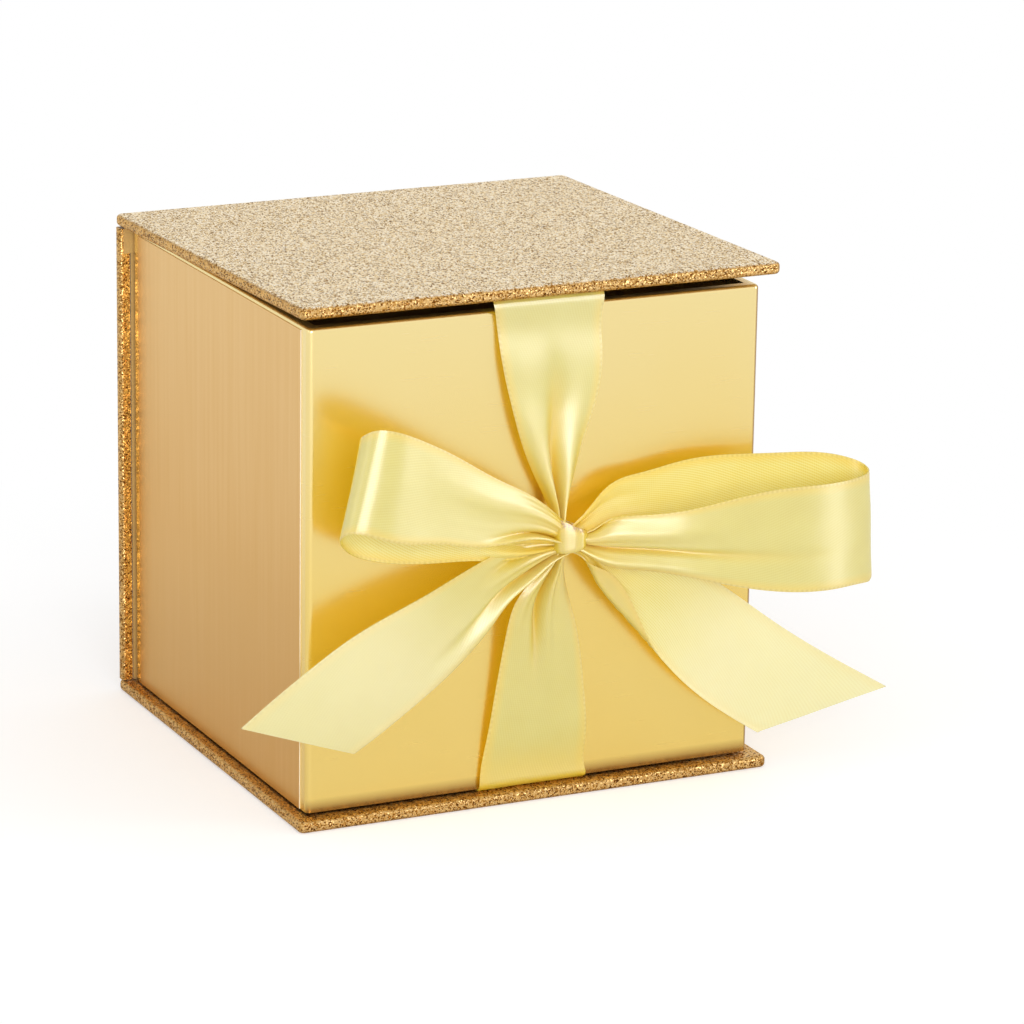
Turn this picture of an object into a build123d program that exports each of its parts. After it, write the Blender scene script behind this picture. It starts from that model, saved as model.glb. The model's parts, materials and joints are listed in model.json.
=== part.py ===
"""Book-style favor box: a paper-covered case round a foil-covered tray, tied shut with a ribbon bow.

X runs across the front, -Y is the front, Z is up and the underside of the base is Z = 0. Millimetres.
"""
import os
from math import sin, tau

from build123d import *

os.makedirs("parts", exist_ok=True)

# Case: three covered boards, with the lid pressed shut for the height
CASE_WIDTH = 109.0
CASE_DEPTH = 104.0
CASE_HEIGHT = 109.2
CASE_BOARD = 2.0
GLITTER_PAPER = 0.3
CASE_CORNER = 1.4
CASE_EDGE = 0.9
BASE_TURN_IN = 14.0
SPINE_TURN_IN = 2.4
CREASE_GAP = 0.2
LINER_PAPER = 0.2
HINGE_LINER_DROP = 5.5
LID_LINER_MARGIN = 4.6
LID_LINER_BACK = 8.0
RIM_CLEARANCE = 0.2
LID_LIFT = 1.3

# Tray: five boards, corner stays and foil paper
TRAY_SIDE_MARGIN = 2.8
TRAY_FRONT_MARGIN = 3.8
TRAY_BOARD = 2.0
FOIL_PAPER = 0.2
STAY_PAPER = 0.15
STAY_LEG = 14.0
STAY_TOP_DROP = 2.0
TRAY_CORNER = 1.2
TRAY_RIM_EDGE = 0.8
HEM_DROP = 15.0
TRAY_TURN_UNDER = 12.0
PANEL_SETBACK = 3.4
PANEL_RIM_DROP = 0.9
GLUE_SHEET = 0.4
GLUE_MARGIN = 10.0
GLUE_TOP_MARGIN = 14.0
FIT_GAP = 0.2

# Ribbon: one width of satin
RIBBON_WIDTH = 25.0
RIBBON_THICK = 0.4
TAB_THICK = 0.3
TAB_LENGTH = 22.0
FOLD_DEPTH = 1.1
UPPER_RIBBON_X = 1.8
LOWER_RIBBON_X = 0.0
UPPER_ROOT_GAP = 1.1
LOWER_ROOT_GAP = 0.75
ROOT_DROP = 0.3

# Straps: share of the way to the knot, share of the ribbon's width, and distance off the tray's front
STRAP_STEPS = [
    (0.00, 1.00, 0.0),
    (0.20, 0.97, 0.1),
    (0.44, 0.84, 0.35),
    (0.68, 0.58, 0.6),
    (0.88, 0.32, 0.83),
    (1.00, 0.20, 1.0),
]
STRAP_END_GAP = 4.4
STRAP_SECTIONS = 30

# Knot: width and depth of its foot, waist and top, and how far its top slants
KNOT_X = 3.6
KNOT_HEIGHT = 59.8
KNOT_OFF_FACE = 6.8
KNOT_HALF = 4.2
KNOT_SECTIONS = [(5.6, 6.0), (8.0, 8.4), (7.6, 6.4)]
KNOT_ROUND = 1.6
KNOT_SLANT = 10.0
KNOT_END_GAP = 0.8

# Bow: sections along each ribbon, and how far a loop's sections crowd into its bend
TAIL_SECTIONS = 30
LOOP_SECTIONS = 64
LOOP_CROWDING = 0.7

# Bow: both edges of the ribbon at each station, as (across, off the tray's front, up) from the knot
LEFT_LOOP = [
    ((-4.6, 8.4, 2.4), (-4.6, 8.4, -2.0)),
    ((-8.0, 9.0, 7.5), (-9.0, 9.4, -0.4)),
    ((-16.8, 10.3, 13.2), (-19.6, 12.0, 0.4)),
    ((-31.6, 13.0, 22.4), (-34.6, 15.2, 3.2)),
    ((-42.2, 14.8, 27.4), (-47.4, 16.6, 5.2)),
    ((-49.0, 12.6, 26.6), (-53.8, 13.8, 4.2)),
    ((-47.4, 8.6, 24.6), (-50.6, 9.8, 1.8)),
    ((-39.6, 5.8, 21.6), (-41.8, 6.8, -2.2)),
    ((-23.6, 4.2, 14.6), (-24.6, 5.8, -4.6)),
    ((-11.6, 4.4, 7.4), (-11.6, 5.8, -4.4)),
    ((-4.6, 5.6, 1.6), (-4.6, 5.8, -2.6)),
]
RIGHT_LOOP = [
    ((4.6, 8.4, 1.8), (4.6, 8.4, -2.6)),
    ((9.6, 10.0, 2.6), (10.8, 10.2, -5.2)),
    ((30.4, 17.8, 5.5), (30.7, 18.2, -12.2)),
    ((43.4, 19.8, 7.4), (43.9, 20.0, -15.2)),
    ((56.4, 18.8, 7.2), (56.9, 19.0, -16.8)),
    ((66.9, 14.8, 7.0), (67.9, 15.0, -17.4)),
    ((69.4, 11.3, 7.2), (70.4, 11.3, -17.2)),
    ((66.9, 7.8, 8.2), (67.9, 7.8, -16.0)),
    ((57.4, 5.4, 10.2), (57.9, 5.2, -13.8)),
    ((41.9, 4.1, 11.2), (42.4, 4.1, -12.3)),
    ((13.4, 4.8, 8.7), (13.4, 5.0, -8.7)),
    ((4.6, 5.6, 1.4), (4.6, 5.6, -3.0)),
]
LEFT_TAIL = [
    ((-3.3, 7.2, -3.7), (-2.6, 7.0, -6.8)),
    ((-8.6, 7.8, -4.4), (-7.1, 6.6, -11.0)),
    ((-18.2, 8.8, -4.6), (-12.7, 5.4, -15.7)),
    ((-30.1, 10.3, -7.8), (-20.1, 4.2, -25.8)),
    ((-43.6, 10.8, -13.3), (-30.6, 3.4, -33.8)),
    ((-74.6, 11.8, -32.0), (-46.0, 3.8, -43.7)),
]
RIGHT_TAIL = [
    ((3.2, 7.2, -3.9), (2.6, 7.0, -7.2)),
    ((8.9, 7.8, -6.8), (8.9, 5.4, -13.8)),
    ((20.9, 8.2, -11.8), (19.4, 4.4, -26.0)),
    ((36.1, 8.4, -16.8), (29.4, 3.8, -37.0)),
    ((46.4, 8.4, -22.8), (39.0, 3.8, -45.2)),
    ((77.3, 8.2, -43.5), (48.2, 4.0, -51.4)),
]

# Planes that the pieces share
COVERED = CASE_BOARD + 2 * GLITTER_PAPER
HALF_WIDTH = CASE_WIDTH / 2
FRONT = -CASE_DEPTH / 2
BACK = CASE_DEPTH / 2
LID_UNDER = CASE_HEIGHT - COVERED
HINGE_Z = LID_UNDER - CREASE_GAP
SPINE_FOOT = COVERED + CREASE_GAP
SPINE_TOP = HINGE_Z - CREASE_GAP
SPINE_INNER = BACK - COVERED
TRAY_HALF = HALF_WIDTH - TRAY_SIDE_MARGIN
TRAY_FRONT = FRONT + TRAY_FRONT_MARGIN
TRAY_BACK = SPINE_INNER - GLUE_SHEET
TRAY_FOOT = COVERED + GLUE_SHEET
TRAY_TOP = LID_UNDER - LINER_PAPER - RIM_CLEARANCE
LID_TURN = Pos(0, BACK, HINGE_Z) * Rot(-LID_LIFT, 0, 0) * Pos(0, -BACK, -HINGE_Z)


def block(x, y, z):
    """A box between the low and high limits given on each axis."""
    spans = (x, y, z)
    return Pos(*[(low + high) / 2 for low, high in spans]) * Box(*[high - low for low, high in spans])


def inset(span, by):
    """The span drawn in at both ends."""
    return span[0] + by, span[1] - by


def plate_and_rims(x, y, z, corner):
    """A plate with rounded upright corners, and the edges round its underside and its top."""
    plate = fillet(block(x, y, z).edges().filter_by(Axis.Z), corner)
    levels = plate.edges().group_by(Axis.Z)
    return plate, levels[0] + levels[-1]


def covered_plate(z_low):
    """A case board with crushed edges and the paper round it, still whole over the board's bare middle."""
    x, y, z = (-HALF_WIDTH, HALF_WIDTH), (FRONT, BACK), (z_low, z_low + COVERED)
    outer, outer_rims = plate_and_rims(x, y, z, CASE_CORNER)
    outer = fillet(outer_rims, CASE_EDGE)
    spans = [inset(span, GLITTER_PAPER) for span in (x, y, z)]
    board, board_rims = plate_and_rims(*spans, CASE_CORNER - GLITTER_PAPER)
    board = chamfer(board_rims, CASE_EDGE - GLITTER_PAPER)
    return board, outer - board


def turn_in_window(z_low, z_high):
    """The part of a covered board that its turn-ins leave bare, running out to the crease at the back."""
    side = HALF_WIDTH - BASE_TURN_IN
    return block((-side, side), (FRONT + BASE_TURN_IN, BACK - GLITTER_PAPER), (z_low, z_high))


def opened(solid):
    """A lid piece turned about the hinge from pressed shut to where the lid rests."""
    return LID_TURN * solid


def from_knot(point):
    """A bow point, given from the knot, in the part's own frame."""
    across, off_face, up = point
    return Vector(KNOT_X + across, TRAY_FRONT - off_face, KNOT_HEIGHT + up)


def ribbon(edges, count, crowding=0):
    """A ribbon of even thickness whose edges run through the stations, folded along its middle where it narrows."""
    middles = [(a + b) / 2 for a, b in edges]
    travel = [0]
    for before, after in zip(middles, middles[1:]):
        travel.append(travel[-1] + (after - before).length)
    steps = [distance / travel[-1] for distance in travel]
    rails = [Edge.make_spline(list(rail), parameters=steps) for rail in zip(*edges)]
    sections = []
    for step in range(count + 1):
        even = step / count
        share = even + crowding * sin(tau * even) / tau
        top, foot = [rail @ share for rail in rails]
        across = foot - top
        out = (rails[0] % share + rails[1] % share).cross(across).normalized()
        fold = out * (FOLD_DEPTH * max(0, 1 - across.length / RIBBON_WIDTH))
        skin = out * (RIBBON_THICK / 2)
        line = [top, (top + foot) / 2 - fold, foot]
        outline = [point + skin for point in line] + [point - skin for point in reversed(line)]
        sections.append(Wire.make_polygon(outline))
    return Solid.make_loft(sections, ruled=True)


def strap_edges(root, end):
    """The edges of a strap that narrows from its full width at the root into the knot."""
    edges = []
    for share, width_share, gap_share in STRAP_STEPS:
        middle = root + (end - root) * share
        off_face = (TRAY_FRONT - root.Y) * (1 - gap_share) + STRAP_END_GAP * gap_share
        half = RIBBON_WIDTH * width_share / 2
        y = TRAY_FRONT - off_face
        edges.append((Vector(middle.X - half, y, middle.Z), Vector(middle.X + half, y, middle.Z)))
    return edges


# Case
base_board, base_wrap = covered_plate(0)
base_wrap -= turn_in_window(COVERED - GLITTER_PAPER, COVERED)

spine_x = (-HALF_WIDTH, HALF_WIDTH)
spine_y = (SPINE_INNER, BACK)
spine_z = (SPINE_FOOT, SPINE_TOP)
spine_outer = block(spine_x, spine_y, spine_z)
spine_outer = fillet(spine_outer.edges().filter_by(Axis.Z), CASE_EDGE)
spine_board = block(inset(spine_x, GLITTER_PAPER), inset(spine_y, GLITTER_PAPER), spine_z)
spine_board = fillet(spine_board.edges().filter_by(Axis.Z), CASE_EDGE - GLITTER_PAPER)
bare_half = HALF_WIDTH - SPINE_TURN_IN
bare_y = (SPINE_INNER, SPINE_INNER + GLITTER_PAPER)
spine_wrap = spine_outer - spine_board - block((-bare_half, bare_half), bare_y, spine_z)
spine_liner = block(inset((-bare_half, bare_half), FIT_GAP), bare_y, spine_z)
hinge_liner_y = (SPINE_INNER - LINER_PAPER, SPINE_INNER)
hinge_liner_z = (SPINE_TOP - HINGE_LINER_DROP, SPINE_TOP)
hinge_liner = block(inset(spine_x, CASE_EDGE), hinge_liner_y, hinge_liner_z)

lid_board, lid_wrap = covered_plate(LID_UNDER)
lid_wrap -= turn_in_window(LID_UNDER, LID_UNDER + GLITTER_PAPER)

# Ribbon tab under the lid, and the liner that covers it
tab_half = RIBBON_WIDTH / 2
upper_tab_x = (UPPER_RIBBON_X - tab_half, UPPER_RIBBON_X + tab_half)
upper_root_y = TRAY_FRONT - UPPER_ROOT_GAP
upper_tab_y = (upper_root_y - RIBBON_THICK / 2, upper_root_y + TAB_LENGTH)
upper_tab_z = (LID_UNDER - TAB_THICK, LID_UNDER)
upper_tab = block(upper_tab_x, upper_tab_y, upper_tab_z)
liner_x = inset((-HALF_WIDTH, HALF_WIDTH), LID_LINER_MARGIN)
liner_y = (FRONT + LID_LINER_MARGIN, BACK - LID_LINER_BACK)
lid_liner = block(liner_x, liner_y, (LID_UNDER - LINER_PAPER, LID_UNDER))
cover_x = inset(upper_tab_x, -LINER_PAPER)
cover_y = (liner_y[0], upper_tab_y[1] + LINER_PAPER)
lid_liner += block(cover_x, cover_y, (upper_tab_z[0] - LINER_PAPER, LID_UNDER))
lid_liner -= upper_tab

# Tray boards, stays and papers
wrap_x = inset((-TRAY_HALF, TRAY_HALF), FOIL_PAPER)
wrap_y = (TRAY_FRONT, TRAY_BACK)
wrap_z = (TRAY_FOOT, TRAY_TOP)
stay_x, stay_y = inset(wrap_x, FOIL_PAPER), inset(wrap_y, FOIL_PAPER)
board_x, board_y = inset(stay_x, STAY_PAPER), inset(stay_y, STAY_PAPER)
board_z = inset(wrap_z, FOIL_PAPER)
inner_x, inner_y = inset(board_x, TRAY_BOARD), inset(board_y, TRAY_BOARD)
floor_top = board_z[0] + TRAY_BOARD


def tray_block(x, y, z, drawn_in):
    """A tray-shaped block with rounded upright corners and a rounded rim, for a layer this far in."""
    body = block(x, y, z)
    body = fillet(body.edges().filter_by(Axis.Z), TRAY_CORNER - drawn_in)
    return fillet(body.edges().group_by(Axis.Z)[-1], TRAY_RIM_EDGE - drawn_in)


tray_hollow = block(inner_x, inner_y, (floor_top, CASE_HEIGHT))
board_shell = tray_block(board_x, board_y, board_z, FOIL_PAPER + STAY_PAPER)
walls = board_shell - block(inner_x, inner_y, (0, CASE_HEIGHT))
tray_floor = block(inner_x, inner_y, (board_z[0], floor_top))
tray_front_wall = walls & block(board_x, (board_y[0], inner_y[0]), board_z)
tray_back_wall = walls & block(board_x, (inner_y[1], board_y[1]), board_z)
tray_left_wall = walls & block((board_x[0], inner_x[0]), inner_y, board_z)
tray_right_wall = walls & block((inner_x[1], board_x[1]), inner_y, board_z)

stay_z = (board_z[0], board_z[1] - STAY_TOP_DROP)
stay_ring = fillet(block(stay_x, stay_y, stay_z).edges().filter_by(Axis.Z), TRAY_CORNER - FOIL_PAPER)
stay_ring -= board_shell
stay_ring -= block(inset(stay_x, STAY_LEG), stay_y, stay_z)
stay_ring -= block(stay_x, inset(stay_y, STAY_LEG), stay_z)
tray_corner_stays = stay_ring - block(inset(stay_x, TRAY_BOARD), inset(stay_y, TRAY_BOARD), stay_z)

hem_z = (TRAY_TOP - HEM_DROP, TRAY_TOP)
mouth_x, mouth_y = inset(inner_x, FOIL_PAPER), inset(inner_y, FOIL_PAPER)
tray_wrap = tray_block(wrap_x, wrap_y, wrap_z, 0)
tray_wrap -= tray_block(stay_x, stay_y, board_z, FOIL_PAPER)
tray_wrap -= block(mouth_x, mouth_y, (TRAY_FOOT + TRAY_BOARD, CASE_HEIGHT))
tray_wrap += block(inner_x, inner_y, hem_z) - block(mouth_x, mouth_y, hem_z)
under_window_z = (TRAY_FOOT, TRAY_FOOT + FOIL_PAPER)
tray_wrap -= block(inset(wrap_x, TRAY_TURN_UNDER), inset(wrap_y, TRAY_TURN_UNDER), under_window_z)

panel_y = inset(wrap_y, PANEL_SETBACK)
panel_z = (TRAY_FOOT, TRAY_TOP - PANEL_RIM_DROP)
tray_left_panel = block((-TRAY_HALF, wrap_x[0]), panel_y, panel_z)
tray_right_panel = block((wrap_x[1], TRAY_HALF), panel_y, panel_z)

floor_liner_top = floor_top + LINER_PAPER
tray_floor_liner = block(mouth_x, mouth_y, (floor_top, floor_liner_top))
wall_liner_z = (floor_top, hem_z[0])
tray_wall_liner = block(inner_x, inner_y, wall_liner_z) - block(mouth_x, mouth_y, wall_liner_z)

# Adhesive between the tray and the case, with room for the lower ribbon's tab
lower_root = Vector(LOWER_RIBBON_X, TRAY_FRONT - LOWER_ROOT_GAP, COVERED + TAB_THICK / 2)
lower_tab_x = (LOWER_RIBBON_X - tab_half, LOWER_RIBBON_X + tab_half)
lower_tab_y = (lower_root.Y - RIBBON_THICK / 2, lower_root.Y + TAB_LENGTH)
lower_tab = block(lower_tab_x, lower_tab_y, (COVERED, COVERED + TAB_THICK))
glue_x = inset(wrap_x, GLUE_MARGIN)
glue_z = (COVERED, TRAY_FOOT)
base_glue_sheet = block(glue_x, inset(wrap_y, GLUE_MARGIN), glue_z)
base_glue_sheet -= block(inset(lower_tab_x, -FIT_GAP), (TRAY_FRONT, lower_tab_y[1] + FIT_GAP), glue_z)
spine_glue_z = (TRAY_FOOT + GLUE_MARGIN, TRAY_TOP - GLUE_TOP_MARGIN)
spine_glue_sheet = block(glue_x, (TRAY_BACK, SPINE_INNER), spine_glue_z)

# Ribbon straps, knot, loops and tails
upper_root = (LID_TURN * Pos(UPPER_RIBBON_X, upper_root_y, upper_tab_z[0] - ROOT_DROP)).position
upper_end = from_knot((0, STRAP_END_GAP, KNOT_HALF + KNOT_END_GAP))
lower_end = from_knot((0, STRAP_END_GAP, -KNOT_HALF - KNOT_END_GAP))
upper_ribbon = ribbon(strap_edges(upper_root, upper_end), STRAP_SECTIONS)
lower_ribbon = ribbon(strap_edges(lower_root, lower_end)[::-1], STRAP_SECTIONS) + lower_tab

knot_planes = [
    Plane(from_knot((0, KNOT_OFF_FACE, -KNOT_HALF))),
    Plane(from_knot((0, KNOT_OFF_FACE, 0))),
    Plane(from_knot((0, KNOT_OFF_FACE, KNOT_HALF))).rotated((0, KNOT_SLANT, 0)),
]
knot_faces = [RectangleRounded(*size, KNOT_ROUND) for size in KNOT_SECTIONS]
bow_knot = loft([plane * face for plane, face in zip(knot_planes, knot_faces)], ruled=True)

bow = {
    "bow_left_loop": (LEFT_LOOP, LOOP_SECTIONS, LOOP_CROWDING),
    "bow_right_loop": (RIGHT_LOOP, LOOP_SECTIONS, LOOP_CROWDING),
    "bow_left_tail": (LEFT_TAIL, TAIL_SECTIONS),
    "bow_right_tail": (RIGHT_TAIL, TAIL_SECTIONS),
}

parts = {
    "base_board": base_board,
    "base_wrap": base_wrap,
    "spine_board": spine_board,
    "spine_wrap": spine_wrap,
    "spine_liner": spine_liner,
    "hinge_liner": hinge_liner,
    "lid_board": opened(lid_board),
    "lid_wrap": opened(lid_wrap),
    "lid_liner": opened(lid_liner),
    "upper_ribbon_anchor": opened(upper_tab),
    "base_glue_sheet": base_glue_sheet,
    "spine_glue_sheet": spine_glue_sheet,
    "tray_floor": tray_floor,
    "tray_front_wall": tray_front_wall,
    "tray_back_wall": tray_back_wall,
    "tray_left_wall": tray_left_wall,
    "tray_right_wall": tray_right_wall,
    "tray_corner_stays": tray_corner_stays,
    "tray_wrap": tray_wrap,
    "tray_left_panel": tray_left_panel,
    "tray_right_panel": tray_right_panel,
    "tray_wall_liner": tray_wall_liner,
    "tray_floor_liner": tray_floor_liner,
    "upper_ribbon": upper_ribbon,
    "lower_ribbon": lower_ribbon,
    "bow_knot": bow_knot,
}
for name, (stations, *counts) in bow.items():
    parts[name] = ribbon([(from_knot(a), from_knot(b)) for a, b in stations], *counts)

for name, part in parts.items():
    export_step(part, f"parts/{name}.step")

print("lid hinge at y", BACK, "z", HINGE_Z)
print("upper ribbon pivot at y", round(upper_root.Y, 3), "z", round(upper_root.Z, 3))
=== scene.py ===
"""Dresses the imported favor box: glitter paper, gold foil and a tied satin ribbon. Lengths are in millimetres
until MM turns them into metres; X runs across the front, -Y is the front and Z is up."""
import json
import math

import bpy
import numpy as np
from mathutils import Matrix, Vector, noise


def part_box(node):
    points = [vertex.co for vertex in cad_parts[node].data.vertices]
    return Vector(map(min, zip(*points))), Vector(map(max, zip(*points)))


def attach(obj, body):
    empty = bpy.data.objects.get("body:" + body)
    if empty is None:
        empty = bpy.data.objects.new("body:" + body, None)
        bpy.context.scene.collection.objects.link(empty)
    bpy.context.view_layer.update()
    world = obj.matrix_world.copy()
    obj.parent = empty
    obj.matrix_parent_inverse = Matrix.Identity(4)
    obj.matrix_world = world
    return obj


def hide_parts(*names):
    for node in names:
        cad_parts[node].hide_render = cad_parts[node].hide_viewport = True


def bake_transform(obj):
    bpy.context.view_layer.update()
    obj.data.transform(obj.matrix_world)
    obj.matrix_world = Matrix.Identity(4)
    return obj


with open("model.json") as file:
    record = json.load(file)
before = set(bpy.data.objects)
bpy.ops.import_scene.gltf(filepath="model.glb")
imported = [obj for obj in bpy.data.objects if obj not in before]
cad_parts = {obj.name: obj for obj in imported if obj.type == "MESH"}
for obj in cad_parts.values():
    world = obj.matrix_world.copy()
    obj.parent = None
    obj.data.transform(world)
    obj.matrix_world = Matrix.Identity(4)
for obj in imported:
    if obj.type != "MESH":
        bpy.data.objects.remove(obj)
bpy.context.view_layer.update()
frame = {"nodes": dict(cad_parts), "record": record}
nodes = frame["nodes"]

MM = 0.001

# Places taken from the part: the tray's front, foot and right side, the lid's hinge and the knot
TRAY_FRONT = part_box("tray_wrap")[0].y / MM
TRAY_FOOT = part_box("tray_wrap")[0].z / MM
TRAY_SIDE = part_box("tray_wrap")[1].x / MM
HINGE_Y, HINGE_Z = 52.0, 106.4
LID_UNDER = 106.6
LID_LIFT = 1.3
KNOT = Vector((3.6, TRAY_FRONT - 6.8, 59.8))

# Ribbon
RIBBON_WIDTH = 25.0
RIBBON_THICK = 0.28
TAB_LENGTH = 22.0
TAB_MIDDLE = 0.15
UPPER_X, LOWER_X = 1.8, 0.0

# Bow and straps: the ribbon's two edges at each station, as (across, off the tray's front, up) from the knot
UPPER_STRAP = [
    ((0.3, 5.2, 0.0), (-1.3, 5.2, 0.0)),
    ((1.2, 4.6, 4.0), (-2.0, 4.6, 4.0)),
    ((3.0, 4.0, 9.5), (-4.6, 4.0, 10.0)),
    ((5.3, 3.2, 17.2), (-8.1, 3.2, 18.2)),
    ((8.9, 2.4, 27.0), (-10.9, 2.4, 28.0)),
    ((10.2, 1.6, 37.4), (-12.9, 1.6, 38.2)),
    ((10.3, 1.2, 44.6), (-13.8, 1.2, 45.2)),
]
LOWER_STRAP = [
    ((-0.9, 5.4, -3.5), (0.9, 5.4, -3.7)),
    ((-3.5, 4.8, -7.9), (1.1, 4.8, -9.4)),
    ((-8.8, 4.0, -13.6), (2.8, 4.0, -16.0)),
    ((-11.5, 3.2, -22.3), (5.2, 3.2, -24.0)),
    ((-13.2, 2.2, -34.6), (7.3, 2.2, -36.4)),
    ((-15.0, 1.4, -46.8), (8.4, 1.4, -48.0)),
    ((-16.0, 0.9, -54.8), (8.6, 0.9, -55.2)),
]
LEFT_LOOP = [
    ((-0.1, 7.4, 1.5), (0.0, 7.4, -3.3)),
    ((-3.7, 8.4, 4.9), (-3.6, 8.4, -1.5)),
    ((-9.5, 9.4, 9.3), (-10.3, 10.0, 0.1)),
    ((-17.8, 11.0, 14.0), (-20.1, 12.0, 0.1)),
    ((-28.3, 13.2, 20.6), (-32.0, 14.4, 2.7)),
    ((-37.5, 15.2, 25.6), (-41.9, 16.6, 4.5)),
    ((-42.9, 15.8, 27.8), (-48.3, 17.0, 6.8)),
    ((-46.6, 14.4, 28.0), (-52.2, 15.4, 7.4)),
    ((-48.2, 11.6, 26.0), (-53.3, 12.4, 5.2)),
    ((-46.5, 8.8, 24.5), (-50.5, 9.6, 1.8)),
    ((-40.9, 6.6, 22.1), (-44.0, 7.4, -1.4)),
    ((-31.3, 5.2, 18.0), (-33.8, 6.2, -3.6)),
    ((-19.7, 4.6, 11.9), (-21.1, 5.6, -4.6)),
    ((-9.5, 4.8, 5.9), (-10.8, 5.6, -5.6)),
    ((-3.4, 5.6, 2.2), (-4.1, 5.8, -4.8)),
    ((0.7, 5.8, 0.1), (0.7, 5.8, -3.8)),
]
RIGHT_LOOP = [
    ((2.0, 5.8, 0.4), (2.1, 5.8, -3.1)),
    ((5.3, 5.6, 3.0), (5.9, 5.6, -4.3)),
    ((10.2, 5.0, 7.5), (10.9, 5.0, -5.6)),
    ((18.3, 4.4, 9.7), (18.6, 4.6, -7.1)),
    ((28.9, 4.2, 11.3), (28.2, 4.4, -8.7)),
    ((41.9, 4.4, 11.3), (41.4, 4.4, -11.1)),
    ((53.5, 5.0, 10.6), (54.3, 5.0, -13.3)),
    ((64.9, 6.4, 9.1), (65.9, 6.2, -15.4)),
    ((69.6, 8.4, 7.2), (71.2, 8.2, -16.6)),
    ((69.3, 11.2, 6.6), (70.7, 11.2, -17.3)),
    ((64.5, 15.0, 6.4), (66.4, 15.0, -17.0)),
    ((56.1, 18.0, 6.8), (58.1, 18.2, -16.4)),
    ((44.6, 19.4, 7.3), (46.5, 19.6, -15.3)),
    ((33.3, 18.6, 6.2), (34.0, 18.4, -12.9)),
    ((23.8, 16.8, 4.4), (24.6, 16.0, -10.5)),
    ((13.8, 13.6, 3.5), (14.6, 12.6, -8.7)),
    ((7.0, 10.6, 1.8), (6.6, 10.0, -6.8)),
    ((4.3, 8.8, -0.4), (3.5, 8.6, -4.7)),
    ((1.3, 7.4, 0.0), (1.3, 7.4, -3.4)),
]
LEFT_TAIL = [
    ((0.8, 6.6, -3.0), (0.8, 6.6, -4.9)),
    ((-2.5, 6.2, -2.3), (-1.7, 6.2, -6.2)),
    ((-8.2, 4.8, -2.4), (-5.5, 5.6, -9.6)),
    ((-16.5, 5.4, -4.3), (-11.1, 5.0, -13.9)),
    ((-29.1, 8.4, -8.4), (-16.6, 4.2, -21.3)),
    ((-38.8, 10.0, -11.7), (-23.3, 3.6, -28.3)),
    ((-50.2, 10.8, -16.5), (-32.2, 3.4, -35.3)),
    ((-74.5, 11.8, -32.0), (-45.9, 3.8, -43.8)),
]
RIGHT_TAIL = [
    ((1.8, 6.4, -3.1), (1.9, 6.4, -5.1)),
    ((6.0, 6.4, -4.0), (4.1, 6.2, -6.3)),
    ((14.1, 6.6, -6.7), (7.6, 5.4, -11.7)),
    ((26.7, 7.4, -10.5), (16.7, 4.6, -22.9)),
    ((39.6, 8.2, -18.2), (29.1, 4.2, -36.9)),
    ((53.0, 8.4, -28.2), (39.0, 4.0, -45.2)),
    ((77.2, 8.2, -43.5), (48.2, 4.0, -51.4)),
]

# Folds: share across the ribbon, half width as a share, height off the ribbon, and the distances from the
# knot along the ribbon up to which the fold stands full and where it has died away
UPPER_FOLDS = [
    (0.47, 0.10, -2.6, 8, 44), (0.20, 0.12, 1.2, 6, 42), (0.76, 0.14, 1.2, 6, 40),
    (1.00, 0.08, -1.4, 4, 28), (0.00, 0.06, -0.8, 4, 26),
]
LOWER_FOLDS = [
    (0.42, 0.06, -2.6, 10, 34), (0.56, 0.07, 1.3, 10, 36), (0.75, 0.12, 0.8, 6, 36), (0.13, 0.10, 1.2, 6, 28),
    (1.00, 0.07, -0.9, 4, 30),
]
LEFT_FRONT_FOLDS = [
    (0.88, 0.06, -1.7, 8, 24), (0.98, 0.05, 1.3, 6, 26), (0.35, 0.20, 1.0, 10, 46),
]
LEFT_BACK_FOLDS = [
    (0.60, 0.06, -1.4, 6, 22), (0.74, 0.05, 1.3, 6, 24), (0.87, 0.05, -1.3, 6, 24), (0.98, 0.05, 1.1, 6, 26),
    (0.25, 0.10, 0.8, 6, 20),
]
RIGHT_FRONT_FOLDS = [
    (0.66, 0.06, -1.8, 10, 62), (0.32, 0.15, 1.4, 14, 44), (0.88, 0.09, 1.2, 10, 48),
    (0.08, 0.06, -0.8, 4, 16),
]
RIGHT_BACK_FOLDS = [(0.25, 0.08, 1.0, 5, 22), (0.50, 0.08, -1.2, 5, 24), (0.75, 0.08, 1.0, 5, 22)]
LEFT_TAIL_FOLDS = [
    (0.78, 0.06, -1.6, 10, 44), (0.93, 0.06, 1.3, 10, 48), (0.50, 0.08, 1.1, 6, 26),
    (0.30, 0.07, -1.3, 6, 22), (0.10, 0.06, 0.8, 4, 14),
]
RIGHT_TAIL_FOLDS = [(0.32, 0.09, 1.2, 6, 26), (0.60, 0.08, 1.0, 6, 24), (0.12, 0.06, -0.8, 4, 16)]

# The right tail's lower edge is folded over: share of the width, full up to one distance and gone at another
RIGHT_TAIL_FLAP = (0.27, 12, 34)
FLAP_LIFT = 0.9

# Knot: its middle, and its section across the ribbon as (depth inward, height, 0) from the front selvage down
KNOT_MIDDLE = KNOT + Vector((1.1, 0.0, -0.9))
KNOT_RADIUS = 3.5
KNOT_SQUARE = 0.75
KNOT_TURN = -25.0
KNOT_SECTION = [
    (0.3, 2.2, 0), (0.05, 1.4, 0), (0.0, 0.0, 0), (0.1, -1.6, 0), (0.4, -2.8, 0), (0.8, -3.1, 0),
    (1.1, -2.6, 0), (1.0, 0.0, 0), (1.05, 1.5, 0), (1.3, 1.9, 0), (1.55, 1.4, 0), (1.5, -2.2, 0),
    (1.75, -2.6, 0), (2.0, -2.1, 0), (1.95, 1.6, 0),
]
KNOT_SLANT = (0.75, -0.18)
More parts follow.
